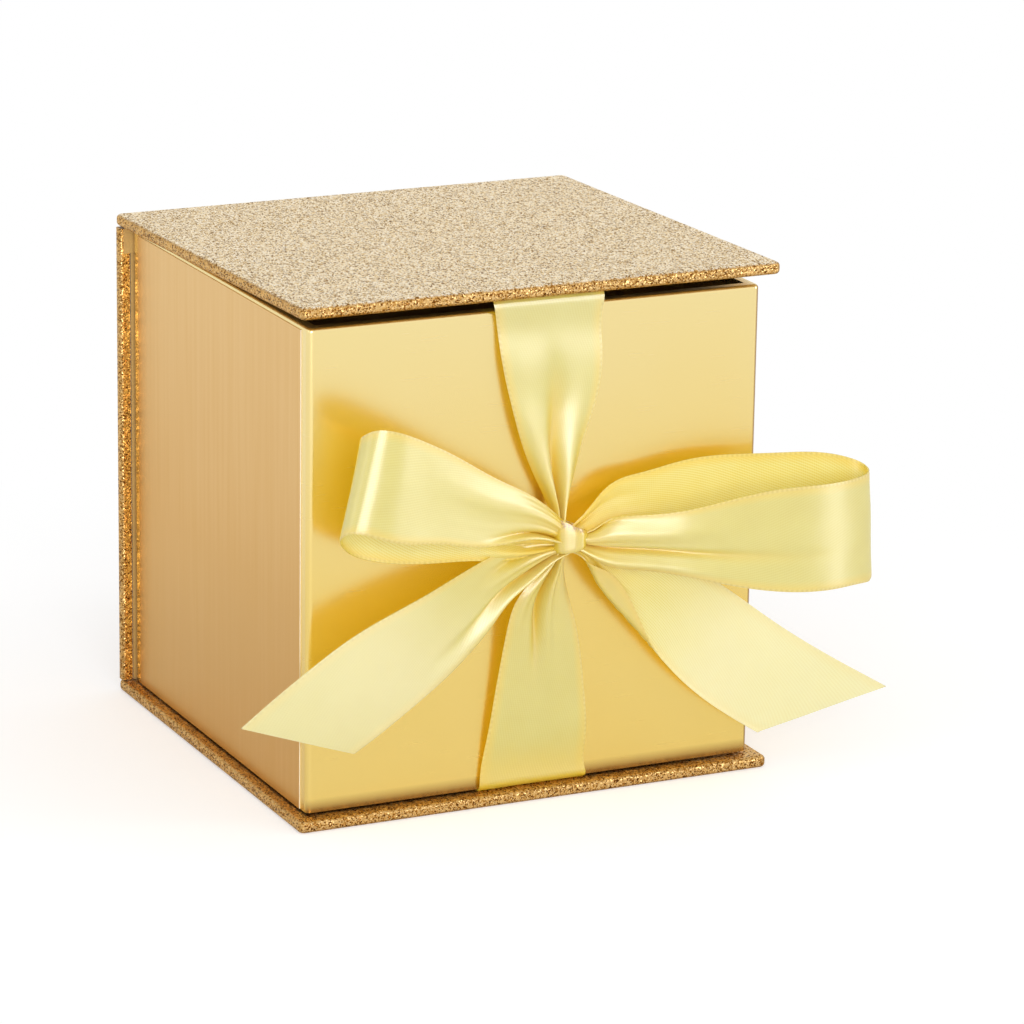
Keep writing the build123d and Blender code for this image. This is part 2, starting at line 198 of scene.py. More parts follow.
# Steps across from the knot's top edge that are painted brown as shade: full up to the first, gone by the
# second
KNOT_FRAYED_SHADE = (2, 5)
# The knot's painted shade: how much deeper gold its whole wrap is painted
KNOT_SHADE = 0.55

# Mesh steps and small wrinkles; the reach of the gathers near the knot, which also sets how far the painted
# shade there reaches; the span of the painted sheen toward the far ends, and that of the painted shade at the
# lower strap's foot
STEP_ALONG = 1.0
STEPS_ACROSS = 44
GATHER_AND_SHADE_REACH = 9.0
SHEEN_REACH = (16, 48)
FOOT_SHADE_REACH = (42, 53)
PLEAT_TURNS = (4, 7)
PLEAT_DEPTH = 0.11
WRINKLE = 0.16
WRINKLE_SIZE = 9.0

# Camera, from the photograph's viewing angle
CAMERA_AZIMUTH, CAMERA_ELEVATION, CAMERA_ROLL = -25.653, 16.233, 0.891
CAMERA_TARGET = Vector((17.73, 0.0, 47.29)) * MM
CAMERA_DISTANCE = 1073.0 * MM
CAMERA_LENS, CAMERA_SENSOR = 172.56, 36.0

# Stage: the sky's level, the floor's glow as gloss and the camera see it, what the camera sees on top, the
# floor's half size in metres, and the distances over which it turns plain white
SKY_LIGHT = 0.65
FLOOR_GLOW, FLOOR_WHITE = 0.22, 0.18
FLOOR_HALF = 3.0
FLOOR_FADE = (90.0, 220.0)

# Colours that parts of a finish turn to
# Painted shade: the glitter's upright faces turn to this deeper gold-brown
UPRIGHT_SHADE_GLITTER = (0.74, 0.51, 0.24)
# The glitter's rounded edges are painted this darker brown
EDGE_DARK_GLITTER = (0.30, 0.15, 0.03)
RAW_PAPER = (0.86, 0.80, 0.70)
# Painted shade along the tray's right corner and at its foot
CORNER_SHADE_FOIL = (0.30, 0.14, 0.04)
# The painted sheen of the ribbons' far ends, also the stitch beads' own paler colour
SHEEN_AND_BEAD_SATIN = (0.90, 0.83, 0.50)
STITCH_GAP = (0.48, 0.33, 0.01)
# Painted shade: the brown, fuzzy line on the knot's top edge
FRAYED_SHADE_SATIN = (0.40, 0.19, 0.015)
# Colour of the satin's painted glow
SATIN_GLOW = (1.0, 0.80, 0.0, 1.0)

# Grain of the finishes: flakes and their clumps, the heights over which painted shade darkens the foil from
# its top down to middle height, and its soft waves
FLAKE, CLUMP = 0.25, 0.6
FOIL_SHADE_SPAN = (105.0, 45.0)
FOIL_WAVE, FOIL_WAVE_DEPTH = 24.0, 0.10

# Weave of the ribbon: pitches of twill, thread and edge stitch, and where its corded edge and golden border
# start and stand full, as distances from the edge
TWILL_PITCH, THREAD_PITCH, STITCH = 0.6, 0.42, 1.2
CORD = (0.8, 0.45)
BORDER, BORDER_SHARE = (2.6, 0.7), 0.55


# Materials


class Paint:
    """A node material: node() adds a node whose inputs are numbers, colours or other nodes' outputs."""

    def __init__(self, name):
        self.material = bpy.data.materials.new(name)
        self.material.use_nodes = True
        self.tree = self.material.node_tree
        self.shader = self.tree.nodes["Principled BSDF"]

    def node(self, kind, inputs=(), **settings):
        made = self.tree.nodes.new("ShaderNode" + kind)
        for key, value in settings.items():
            setattr(made, key, value)
        self.fill(made, dict(inputs))
        return made

    def fill(self, target, inputs):
        for key, value in inputs.items():
            if isinstance(value, bpy.types.NodeSocket):
                self.tree.links.new(value, target.inputs[key])
            else:
                target.inputs[key].default_value = value

    def set(self, **inputs):
        self.fill(self.shader, {key.replace("_", " "): value for key, value in inputs.items()})
        return self.material

    def math(self, operation, *values):
        return self.node("Math", enumerate(values), operation=operation).outputs[0]

    def vector_math(self, operation, *values):
        made = self.node("VectorMath", enumerate(values), operation=operation)
        return next(s for s in made.outputs if s.enabled)

    def place(self):
        """The object's own coordinates, in millimetres."""
        spot = self.node("TexCoord").outputs["Object"]
        return self.vector_math("MULTIPLY", spot, (1 / MM,) * 3)

    def stretched(self, spot, scale):
        return self.vector_math("MULTIPLY", spot, scale)

    def noise(self, spot, size, detail=3.0, roughness=0.5):
        inputs = {"Vector": spot, "Scale": 1 / size, "Detail": detail, "Roughness": roughness}
        return self.node("TexNoise", inputs).outputs["Fac"]

    def ramp(self, value, stops, interpolation="LINEAR"):
        made = self.node("ValToRGB", {"Fac": value})
        ramp = made.color_ramp
        ramp.interpolation = interpolation
        while len(ramp.elements) < len(stops):
            ramp.elements.new(0.5)
        for element, (position, colour) in zip(ramp.elements, stops):
            element.position = position
            element.color = (*colour, 1.0)
        return made.outputs["Color"]

    def mix(self, share, first, second, blend="MIX"):
        made = self.node("Mix", data_type="RGBA", blend_type=blend)
        for key, value in (("Factor", share), ("A", first), ("B", second)):
            socket = next(s for s in made.inputs if s.name == key and s.enabled)
            if isinstance(value, bpy.types.NodeSocket):
                self.tree.links.new(value, socket)
            else:
                socket.default_value = value if key == "Factor" else (*value, 1.0)
        return next(s for s in made.outputs if s.enabled)

    def bump(self, height, distance, strength=1.0, normal=None):
        inputs = {"Height": height, "Distance": distance * MM, "Strength": strength}
        if normal is not None:
            inputs["Normal"] = normal
        return self.node("Bump", inputs).outputs["Normal"]


def glitter_paper(name, top_shade):
    """Fine flakes, each with its own tilt and shade of gold. Painted shade makes the upright faces deeper
    gold-brown, and the top too by the share given as the second argument; the rounded edges are painted darker
    brown."""
    paint = Paint(name)
    spot = paint.place()
    flake = paint.node("TexVoronoi", {"Vector": paint.stretched(spot, (1.0, 0.6, 1.0)), "Scale": 1 / FLAKE})
    lot = paint.node("SeparateColor", {"Color": flake.outputs["Color"]})
    clump = paint.noise(spot, CLUMP, 2.0, 0.7)
    draw = paint.math("MULTIPLY_ADD", clump, 0.6, paint.math("MULTIPLY_ADD", lot.outputs["Red"], 0.85, -0.20))
    shades = [
        (0.0, (0.14, 0.06, 0.012)),
        (0.24, (0.42, 0.25, 0.09)),
        (0.35, (0.74, 0.56, 0.30)),
        (0.47, (0.92, 0.79, 0.55)),
        (0.66, (1.0, 0.95, 0.84)),
    ]
    colour = paint.ramp(draw, shades, "CONSTANT")
    outward = paint.node("TexCoord").outputs["Normal"]
    upward = paint.node("SeparateXYZ", {"Vector": outward}).outputs["Z"]
    # Painted shade: faces turned away from up are made deeper gold-brown
    turned = paint.node("MapRange", {"Value": upward, "From Min": 0.95, "From Max": 0.6, "To Min": top_shade})
    facing = paint.node("SeparateXYZ", {"Vector": paint.vector_math("ABSOLUTE", outward)})
    colour = paint.mix(turned.outputs["Result"], colour, UPRIGHT_SHADE_GLITTER, "MULTIPLY")
    flat = paint.math("MAXIMUM", paint.math("MAXIMUM", *facing.outputs[:2]), facing.outputs[2])
    # The rounded edges between faces are painted darker brown
    edge_dark = paint.node("MapRange", {"Value": flat, "From Min": 0.97, "From Max": 0.85, "To Max": 0.35})
    colour = paint.mix(edge_dark.outputs["Result"], colour, EDGE_DARK_GLITTER)
    tilt = paint.vector_math("SUBTRACT", flake.outputs["Color"], (0.5, 0.5, 0.5))
    tilt = paint.vector_math("MULTIPLY", tilt, (0.55, 0.55, 0.55))
    normal = paint.vector_math("ADD", paint.node("NewGeometry").outputs["Normal"], tilt)
    normal = paint.vector_math("NORMALIZE", normal)
    return paint.set(Base_Color=colour, Metallic=0.95, Roughness=0.3, Normal=normal,
                     Specular_Tint=(0.95, 0.84, 0.66, 1.0))


def corner_and_foot_shade(paint, axes, outward, depth):
    """How much painted shade a front face gets: along the tray's right corner and at its foot."""
    front = paint.node("MapRange", {"Value": outward, "From Min": -0.2, "From Max": -0.5, "To Max": depth})
    beside = {"Value": axes.outputs["X"], "From Min": TRAY_SIDE - 1.0, "From Max": TRAY_SIDE - 0.5}
    below = {"Value": axes.outputs["Z"], "From Min": TRAY_FOOT + 3.0, "From Max": TRAY_FOOT + 0.6}
    below["To Max"] = 0.8
    corner, foot = (paint.node("MapRange", inputs).outputs["Result"] for inputs in (beside, below))
    return paint.math("MULTIPLY", paint.math("MAXIMUM", corner, foot), front.outputs["Result"])


def foil_paper(name, gold, shade, roughness, grain, brushing, raw_edge=0.0, corner_shade=0.0):
    """Metallised paper with faint waves and brushing, painted darker from the top down to middle height as
    shade: grain stretches the brushing along one axis, raw_edge is how far faces cut toward the front show
    white paper, and the last argument how dark the painted shade along the right corner and at the foot is."""
    paint = Paint(name)
    spot = paint.place()
    brushed = paint.noise(paint.stretched(spot, grain), 0.5, 3.0)
    cloud = paint.noise(spot, 38.0, 2.0)
    axes = paint.node("SeparateXYZ", {"Vector": spot})
    # Painted shade: the foil turns toward its darker colour from the top down to middle height
    shade_span = {"Value": axes.outputs["Z"], "From Min": FOIL_SHADE_SPAN[0], "From Max": FOIL_SHADE_SPAN[1], "To Max": 0.7}
    low = paint.node("MapRange", shade_span)
    share = paint.math("MULTIPLY_ADD", cloud, 0.3, low.outputs["Result"])
    share = paint.math("MULTIPLY_ADD", brushed, brushing, share)
    colour = paint.mix(paint.node("Clamp", {"Value": share}).outputs[0], gold, shade)
    rough = paint.math("MULTIPLY_ADD", brushed, brushing / 3, roughness - brushing / 6)
    wave = paint.bump(paint.noise(spot, FOIL_WAVE, 1.0), FOIL_WAVE_DEPTH)
    normal = paint.bump(brushed, 0.004, 0.02, wave)
    outward = paint.node("SeparateXYZ", {"Vector": paint.node("TexCoord").outputs["Normal"]}).outputs["Y"]
    raw = paint.node("MapRange", {"Value": outward, "From Min": -0.6, "From Max": -0.9, "To Max": raw_edge})
    colour = paint.mix(raw.outputs["Result"], colour, RAW_PAPER)
    # Painted shade along the tray's right corner and at its foot
    colour = paint.mix(corner_and_foot_shade(paint, axes, outward, corner_shade), colour, CORNER_SHADE_FOIL)
    metal = paint.math("SUBTRACT", 1.0, raw.outputs["Result"])
    return paint.set(Base_Color=colour, Metallic=metal, Roughness=rough, Normal=normal)


def plain_paper(name, light, dark, roughness, metallic, fibre):
    """Uncoated or lightly printed paper with a fibre grain."""
    paint = Paint(name)
    spot = paint.place()
    grain = paint.noise(spot, fibre, 4.0, 0.6)
    cloud = paint.noise(spot, 26.0, 2.0)
    share = paint.math("MULTIPLY_ADD", grain, 0.6, paint.math("MULTIPLY", cloud, 0.35))
    colour = paint.mix(share, light, dark)
    normal = paint.bump(grain, 0.03, 0.6)
    return paint.set(Base_Color=colour, Metallic=metallic, Roughness=roughness, Normal=normal)


def weave(paint, u, v):
    """The height of the slanting twill and the cross threads."""
    slant = paint.math("MULTIPLY_ADD", u, 0.94, paint.math("MULTIPLY", v, -0.34))
    twill = paint.math("SINE", paint.math("MULTIPLY", slant, math.tau / TWILL_PITCH))
    thread = paint.math("SINE", paint.math("MULTIPLY", v, math.tau / THREAD_PITCH))
    return paint.math("MULTIPLY_ADD", twill, 0.5, paint.math("MULTIPLY", thread, 0.3))


def painted_shade_and_sheen(paint, uv, colour, deep):
    """The cloth's colour with painted shade, deeper near the knot and in the fold valleys, a painted sheen
    that turns it paler where the value goes below zero, and a fuzzy, frayed-looking brown painted as shade on
    the knot's top edge.
    """
    # Painted shade, deeper gold near the knot and in the fold valleys
    shade_and_sheen = paint.node("Attribute", attribute_name="shade_and_sheen").outputs["Fac"]
    colour = paint.mix(paint.node("Clamp", {"Value": shade_and_sheen}).outputs[0], colour, deep)
    # Painted sheen: paler where the value goes below zero
    sheen = paint.math("MULTIPLY", shade_and_sheen, -1.0)
    colour = paint.mix(paint.node("Clamp", {"Value": sheen}).outputs[0], colour, SHEEN_AND_BEAD_SATIN)
    # Painted shade: a fuzzy brown line along the knot's top edge, with a frayed look
    frayed_shade = paint.node("Attribute", attribute_name="frayed_shade").outputs["Fac"]
    fluff = paint.node("MapRange", {"Value": paint.noise(uv, 0.35, 2.0), "From Min": 0.35, "From Max": 0.6})
    return paint.mix(paint.math("MULTIPLY", frayed_shade, fluff.outputs["Result"]), colour, FRAYED_SHADE_SATIN)


def satin(name, light, dark, deep, roughness, twill_depth, anisotropic, gloss, glow):
    """Woven ribbon with a stitched edge and a gloss that runs across. A painted glow, emitted only on the side
    toward the box, stands for light that comes through the cloth and back from the foil."""
    paint = Paint(name)
    uv = paint.node("UVMap", uv_map="ribbon").outputs["UV"]
    across = paint.node("SeparateXYZ", {"Vector": uv})
    u, v = across.outputs["X"], across.outputs["Y"]
    cloth = weave(paint, u, v)
    edge = paint.math("MINIMUM", u, paint.math("SUBTRACT", RIBBON_WIDTH, u))
    cord = paint.node("MapRange", {"Value": edge, "From Min": CORD[0], "From Max": CORD[1]}).outputs["Result"]
    beat = paint.math("SINE", paint.math("MULTIPLY", v, math.tau / STITCH))
    stitch = paint.math("MULTIPLY", cord, beat)
    cloud = paint.noise(uv, 7.0, 2.0)
    share = paint.math("MULTIPLY_ADD", cloth, twill_depth, paint.math("MULTIPLY", cloud, 0.6))
    share = paint.math("SUBTRACT", share, paint.math("MULTIPLY", cord, 0.4))
    share = paint.math("MULTIPLY_ADD", stitch, 0.6, share)
    colour = paint.mix(paint.node("Clamp", {"Value": share}).outputs[0], light, dark)
    reach = {"Value": edge, "From Min": BORDER[0], "From Max": BORDER[1], "To Max": BORDER_SHARE}
    colour = paint.mix(paint.node("MapRange", reach).outputs["Result"], colour, deep)
    bead = paint.math("MULTIPLY", cord, paint.math("MULTIPLY_ADD", beat, 0.08, 0.08))
    gap = paint.math("MULTIPLY", cord, paint.math("MULTIPLY_ADD", beat, -0.15, 0.20))
    colour = paint.mix(gap, paint.mix(bead, colour, SHEEN_AND_BEAD_SATIN), STITCH_GAP)
    colour = painted_shade_and_sheen(paint, uv, colour, deep)
    height = paint.math("MULTIPLY_ADD", stitch, 0.8, cloth)
    normal = paint.bump(paint.math("MULTIPLY_ADD", cord, 2.0, height), 0.015, 0.5)
    tangent = paint.node("Tangent", direction_type="UV_MAP", uv_map="ribbon").outputs["Tangent"]
    inward = paint.node("SeparateXYZ", {"Vector": paint.node("TexCoord").outputs["Normal"]}).outputs["Y"]
    # Painted glow: the satin emits light on the side that faces the box
    painted_glow = paint.node("MapRange", {"Value": inward, "From Min": 0.1, "From Max": 0.7, "To Max": glow})
    return paint.set(Base_Color=colour, Roughness=roughness, Anisotropic=anisotropic, IOR=2.2, Normal=normal,
                     Specular_IOR_Level=gloss, Tangent=tangent, Subsurface_Weight=0.45,
                     Subsurface_Radius=(1.0, 0.95, 0.8), Subsurface_Scale=0.8 * MM,
                     Emission_Color=SATIN_GLOW, Emission_Strength=painted_glow.outputs["Result"])


FINISHES = {
    "glitter_paper": glitter_paper("glitter_paper", 0.0),
    "foil_paper": foil_paper(
        "foil_paper", (0.88, 0.73, 0.36), (0.85, 0.62, 0.18), 0.27, (0.03, 0.03, 1.0), 0.06, corner_shade=0.9),
    "liner_paper": plain_paper("liner_paper", (0.66, 0.46, 0.20), (0.52, 0.34, 0.13), 0.45, 0.5, 0.6),
    "chipboard": plain_paper("chipboard", (0.46, 0.42, 0.36), (0.33, 0.29, 0.24), 0.9, 0.0, 0.8),
    "stay_paper": plain_paper("stay_paper", (0.52, 0.38, 0.22), (0.42, 0.29, 0.16), 0.8, 0.0, 0.5),
    "adhesive": plain_paper("adhesive", (0.78, 0.75, 0.66), (0.70, 0.66, 0.56), 0.6, 0.0, 1.2),
}
# Glitter painted deeper gold-brown all over as shade, for the base and the spine
SHADED_GLITTER = glitter_paper("shaded_glitter_paper", 1.0)
LINED_BOARD = plain_paper("lined_board", (0.60, 0.42, 0.19), (0.48, 0.32, 0.13), 0.55, 0.3, 0.7)
# The side panels' foil: a more matte, tan paper, also painted darker than the front foil as the shade on the
# box's sides
SHADED_SIDE_FOIL = foil_paper(
    "shaded_side_foil", (0.78, 0.52, 0.21), (0.66, 0.38, 0.10), 0.34, (0.4, 0.4, 0.012), 0.35, raw_edge=1.0)
SATIN_FACE = satin(
    "satin_face", (0.65, 0.575, 0.12), (0.575, 0.465, 0.03), (0.78, 0.53, 0.003),
    roughness=0.38, twill_depth=0.45, anisotropic=0.9, gloss=0.78, glow=0.27)
SATIN_BACK = satin(
    "satin_back", (0.82, 0.75, 0.28), (0.71, 0.57, 0.06), (0.80, 0.54, 0.003),
    roughness=0.5, twill_depth=0.85, anisotropic=0.7, gloss=0.58, glow=0.19)
OWN_FINISHES = {
    "tray_left_panel": SHADED_SIDE_FOIL,
    "tray_right_panel": SHADED_SIDE_FOIL,
    "base_wrap": SHADED_GLITTER,
    "spine_wrap": SHADED_GLITTER,
    "lid_board": LINED_BOARD,
}

slots = {row["node"]: row["material_slot"] for row in frame["record"]["subparts"]}
for name, thing in nodes.items():
    finish = FINISHES.get(slots[name], SATIN_FACE)
    thing.data.materials.clear()
    thing.data.materials.append(OWN_FINISHES.get(name, finish))


# Ribbon meshes


def from_knot(point):
    across, off_face, up = point
    return (KNOT.x + across, TRAY_FRONT - off_face, KNOT.z + up)


def lifted(point):
    """A lid point turned about the hinge from pressed shut to where the lid rests."""
    turn = Matrix.Rotation(math.radians(-LID_LIFT), 3, "X")
    hinge = Vector((0, HINGE_Y, HINGE_Z))
    return tuple(turn @ (Vector(point) - hinge) + hinge)


def smooth_line(knots, points, wanted):
    """A natural cubic spline through the points, read at the wanted values."""
    knots, points = np.asarray(knots), np.asarray(points)
    gaps = np.diff(knots)
    count = len(knots)
    system, sides = np.eye(count), np.zeros((count, 3))
    for i in range(1, count - 1):
        system[i, i - 1:i + 2] = gaps[i - 1], 2 * (gaps[i - 1] + gaps[i]), gaps[i]
        slope_after = (points[i + 1] - points[i]) / gaps[i]
        slope_before = (points[i] - points[i - 1]) / gaps[i - 1]
        sides[i] = 6 * (slope_after - slope_before)
    bends = np.linalg.solve(system, sides)
    at = np.clip(np.searchsorted(knots, wanted) - 1, 0, count - 2)
    gap, left, right = gaps[at], knots[at + 1] - wanted, wanted - knots[at]
    gap, left, right = (x[:, None] for x in (gap, left, right))
    cubic = (bends[at] * left ** 3 + bends[at + 1] * right ** 3) / (6 * gap)
    linear = (points[at] / gap - bends[at] * gap / 6) * left
    return cubic + linear + (points[at + 1] / gap - bends[at + 1] * gap / 6) * right


def step_up(value, low, high):
    share = np.clip((value - low) / (high - low), 0, 1)
    return share * share * (3 - 2 * share)


def unit(vectors):
    return vectors / np.linalg.norm(vectors, axis=-1, keepdims=True)


def fold_heights(folds, far, share):
    """How far each point stands off the ribbon's plain form; far is the distance along from the knot."""
    heights = np.zeros((len(far), len(share)))
    for place, half, height, full, gone in folds:
        across = np.exp(-((share - place) / half) ** 2)
        along = 1 - step_up(far, full, gone)
        heights += height * along[:, None] * across[None, :]
    return heights


def folded_over(share, far, flap):
    """Where each point across lies once the far edge is folded over, and how far it is lifted by that."""
    width, full, gone = flap
    kept = (1 - width * step_up(far, 3, 11) * (1 - step_up(far, full, gone)))[:, None]
    lay = np.minimum(share / kept, 2 - share / kept)
    return lay, step_up(share / kept, 0.97, 1.06)


def ribbon_grid(stations, start_folds, end_folds, flap):
    """Points of the ribbon's middle surface [along, across], the distance along, and how much painted shade
    each gets: deeper near the knot and in the fold valleys.
    """
    edges = np.array(stations)
    middles = edges.mean(1)
    travel = np.concatenate([[0], np.cumsum(np.linalg.norm(np.diff(middles, axis=0), axis=1))])
    fine = np.linspace(0, travel[-1], 800)
    path = smooth_line(travel, middles, fine)
    length = np.concatenate([[0], np.cumsum(np.linalg.norm(np.diff(path, axis=0), axis=1))])
    count = int(length[-1] / STEP_ALONG) + 1
    far = np.linspace(0, length[-1], count)
    at = np.interp(far, length, fine)
    top, foot = (smooth_line(travel, edges[:, side], at) for side in (0, 1))
    share = np.linspace(0, 1, STEPS_ACROSS + 1)
    lay, lift = folded_over(share[None], far, flap)
    points = top[:, None] + (foot - top)[:, None] * lay[:, :, None]
    out = unit(np.cross(np.gradient((top + foot) / 2, axis=0), foot - top))
    heights = fold_heights(start_folds, far, share) + fold_heights(end_folds, far[-1] - far, share)
    ripple = [[noise.noise(Vector(p) / WRINKLE_SIZE) for p in row] for row in points]
    near = np.minimum(far, far[-1] - far) if end_folds else far
    close = np.exp(-near / GATHER_AND_SHADE_REACH)[:, None]
    pleats = [np.cos(math.tau * (turns * share + turns ** 2 / 7)) for turns in PLEAT_TURNS]
    heights += WRINKLE * np.array(ripple) - FLAP_LIFT * lift + PLEAT_DEPTH * close * sum(pleats)[None]
    points += out[:, None] * heights[:, :, None]
    # Painted shade: deeper colour near the knot and in the valleys of the folds
    shade_and_sheen = close + np.clip(-heights / 2.5, 0, 0.6)
    return points, far, np.clip(shade_and_sheen, 0, 1)


def sheet_faces(rows, columns):
    """Faces of both sides and the rim, the finish of each face, and the front corners round the rim."""
    back = rows * columns
    faces, finishes = [], []
    for i in range(rows - 1):
        for j in range(columns - 1):
            a, b = i * columns + j, (i + 1) * columns + j
            faces += [(a, b, b + 1, a + 1), (back + a, back + a + 1, back + b + 1, back + b)]
            finishes += [0, 1]
    rim = [(i, 0) for i in range(rows)] + [(rows - 1, j) for j in range(1, columns)]
    rim += [(i, columns - 1) for i in range(rows - 2, -1, -1)] + [(0, j) for j in range(columns - 2, 0, -1)]
    loop = [i * columns + j for i, j in rim]
    for a, b in zip(loop, loop[1:] + loop[:1]):
        faces.append((a, back + a, back + b, b))
        finishes.append(0)
    return faces, finishes, loop


def sharpen_rim(mesh, loop, back):
    """Keeps the shading of the two sides apart from that of the rim."""
    ends = np.empty(2 * len(mesh.edges), dtype=np.int32)
    mesh.edges.foreach_get("vertices", ends)
    first, second = ends.reshape(-1, 2).T
    on_rim = np.zeros(len(mesh.vertices), dtype=bool)
    on_rim[loop] = on_rim[[back + i for i in loop]] = True
    crease = on_rim[first] & on_rim[second] & ((first < back) == (second < back))
    mesh.attributes.new("sharp_edge", "BOOLEAN", "EDGE").data.foreach_set("value", crease)


def lay_out(mesh, far, columns):
    """The ribbon laid flat in millimetres: its width along U and its length along V."""
    layer = mesh.uv_layers.new(name="ribbon")
    grid_u = np.tile(np.linspace(0, RIBBON_WIDTH, columns), len(far))
    grid_v = np.repeat(far, columns)
    uv = np.tile(np.stack([grid_u, grid_v], 1), (2, 1))
    corners = np.empty(len(mesh.loops), dtype=np.int32)
    mesh.loops.foreach_get("vertex_index", corners)
    layer.data.foreach_set("uv", uv[corners].ravel())


def sheet_mesh(name, points, far, shade_and_sheen):
    """A closed ribbon mesh: satin on the side that faces out, the duller back on the other, a thin rim."""
    rows, columns = points.shape[:2]
    along, across = np.gradient(points, axis=0), np.gradient(points, axis=1)
    skin = unit(np.cross(along, across)) * RIBBON_THICK / 2
    verts = np.concatenate([(points + skin).reshape(-1, 3), (points - skin).reshape(-1, 3)]) * MM
    faces, finishes, loop = sheet_faces(rows, columns)
    mesh = bpy.data.meshes.new(name)
    mesh.from_pydata(verts.tolist(), [], faces)
    mesh.polygons.foreach_set("material_index", finishes)
    mesh.polygons.foreach_set("use_smooth", [True] * len(faces))
    sharpen_rim(mesh, loop, rows * columns)
    lay_out(mesh, far, columns)
    # The painted shade and sheen of the satin's colour, kept on the points
    mesh.attributes.new("shade_and_sheen", "FLOAT", "POINT").data.foreach_set("value", np.tile(shade_and_sheen.ravel(), 2))
    mesh.materials.append(SATIN_FACE)
    mesh.materials.append(SATIN_BACK)
    mesh.validate()
    thing = bpy.data.objects.new(name, mesh)
    bpy.context.scene.collection.objects.link(thing)
    return thing


def satin_piece(name, stations, start_folds, end_folds=(), flap=(0, 0, 1), pale=0.0, reach=SHEEN_REACH):
    """A ribbon piece and its length; a positive painted sheen turns it paler along reach, a negative one
    paints it deeper gold there as shade.
    """
    points, far, shade_and_sheen = ribbon_grid(stations, start_folds, end_folds, flap)
    # Painted sheen toward the far end; below zero it paints shade there instead
    shade_and_sheen = shade_and_sheen - pale * step_up(far, *reach)[:, None]
    thing = sheet_mesh(name, points, far, shade_and_sheen)
    return thing, far[-1]


def placed(stations):
    return [(from_knot(a), from_knot(b)) for a, b in stations]


def tab_stations(left, right, points, place=tuple):
    """Stations of full width at these (y, z) points, with edges at these two places across."""
    return [(place((left, y, z)), place((right, y, z))) for y, z in points]


def upper_strap():
    """From the knot up to the lid's front, then back under the lid to its glued end."""
    half = RIBBON_WIDTH / 2
    root_y, tab_z = TRAY_FRONT - 1.1, LID_UNDER - TAB_MIDDLE
    tab = [(root_y, tab_z - 0.6), (root_y + 0.5, tab_z), (root_y + 3, tab_z), (root_y + TAB_LENGTH, tab_z)]
    stations = placed(UPPER_STRAP) + tab_stations(UPPER_X + half, UPPER_X - half, tab, lifted)
    # The upper strap is painted a little paler toward its far end as sheen
    thing, length = satin_piece("ribbon_strap_upper", stations, UPPER_FOLDS, pale=0.15)
    pivot = Vector(lifted((UPPER_X, root_y, LID_UNDER - 0.6))) * MM
    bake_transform(thing)
    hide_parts("upper_ribbon", "upper_ribbon_anchor")


def lower_strap():
    """From the knot down to the tray's foot, then back under the tray to its glued end."""
    half = RIBBON_WIDTH / 2
    root_y, tab_z = TRAY_FRONT - 0.75, TRAY_FOOT - 0.25
    tab = [(root_y, tab_z + 0.4), (root_y + 0.6, tab_z), (root_y + 3, tab_z), (root_y + TAB_LENGTH, tab_z)]
    stations = placed(LOWER_STRAP) + tab_stations(LOWER_X - half, LOWER_X + half, tab)
    # The lower strap is painted deeper gold toward its foot as shade
    thing, length = satin_piece("ribbon_strap_lower", stations, LOWER_FOLDS, pale=-0.6, reach=FOOT_SHADE_REACH)
    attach(thing, "box")
    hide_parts("lower_ribbon")


def bow_piece(name, node, stations, *folds, **options):
    thing, length = satin_piece(name, placed(stations), *folds, **options)
    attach(thing, "box")
    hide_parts(node)


def knot_wrap():
    """The ribbon drawn round the straps, folded in four across, with slanting edges."""
    turns = np.linspace(math.pi / 2, math.pi / 2 - math.tau, 97)
    section = np.array(KNOT_SECTION)
    travel = np.concatenate([[0], np.cumsum(np.linalg.norm(np.diff(section, axis=0), axis=1))])
    section = smooth_line(travel, section, np.linspace(0, travel[-1], 81))
    inward, height = section[:, 0][None], section[:, 1][None]
    square = [np.sign(f(turns)) * np.abs(f(turns)) ** KNOT_SQUARE for f in (np.cos, np.sin)]
    lean = math.radians(KNOT_TURN)
    sideways = (square[0] * math.cos(lean) - square[1] * math.sin(lean))[:, None]
    forward = (square[0] * math.sin(lean) + square[1] * math.cos(lean))[:, None]
    slant = KNOT_SLANT[0] * np.clip(height, 0, None) + KNOT_SLANT[1] * np.clip(-height, 0, None)
    points = np.stack([
        KNOT_MIDDLE.x + (KNOT_RADIUS - inward) * sideways,
        KNOT_MIDDLE.y + (KNOT_RADIUS - inward) * forward,
        KNOT_MIDDLE.z + height - slant * sideways,
    ], axis=2)
    length = np.linalg.norm(np.diff(points[:, 40], axis=0), axis=1).sum()
    # The whole knot gets the same painted shade
    shade_and_sheen = np.full(points.shape[:2], KNOT_SHADE)
    thing = sheet_mesh("bow_knot_wrap", points, np.linspace(0, length, len(turns)), shade_and_sheen)
    # Painted shade along the knot's top edge
    frayed_shade = np.tile(1 - step_up(np.arange(points.shape[1]), *KNOT_FRAYED_SHADE), 2 * len(turns))
    thing.data.attributes.new("frayed_shade", "FLOAT", "POINT").data.foreach_set("value", frayed_shade)
    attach(thing, "box")
    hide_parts("bow_knot")


upper_strap()
lower_strap()
bow_piece("bow_loop_left", "bow_left_loop", LEFT_LOOP, LEFT_FRONT_FOLDS, LEFT_BACK_FOLDS)
bow_piece("bow_loop_right", "bow_right_loop", RIGHT_LOOP, RIGHT_BACK_FOLDS, RIGHT_FRONT_FOLDS)
# The tails are painted paler toward their tips as sheen
bow_piece("bow_tail_left", "bow_left_tail", LEFT_TAIL, LEFT_TAIL_FOLDS, pale=0.45)
bow_piece("bow_tail_right", "bow_right_tail", RIGHT_TAIL, RIGHT_TAIL_FOLDS, flap=RIGHT_TAIL_FLAP, pale=0.65)
knot_wrap()


# Stage


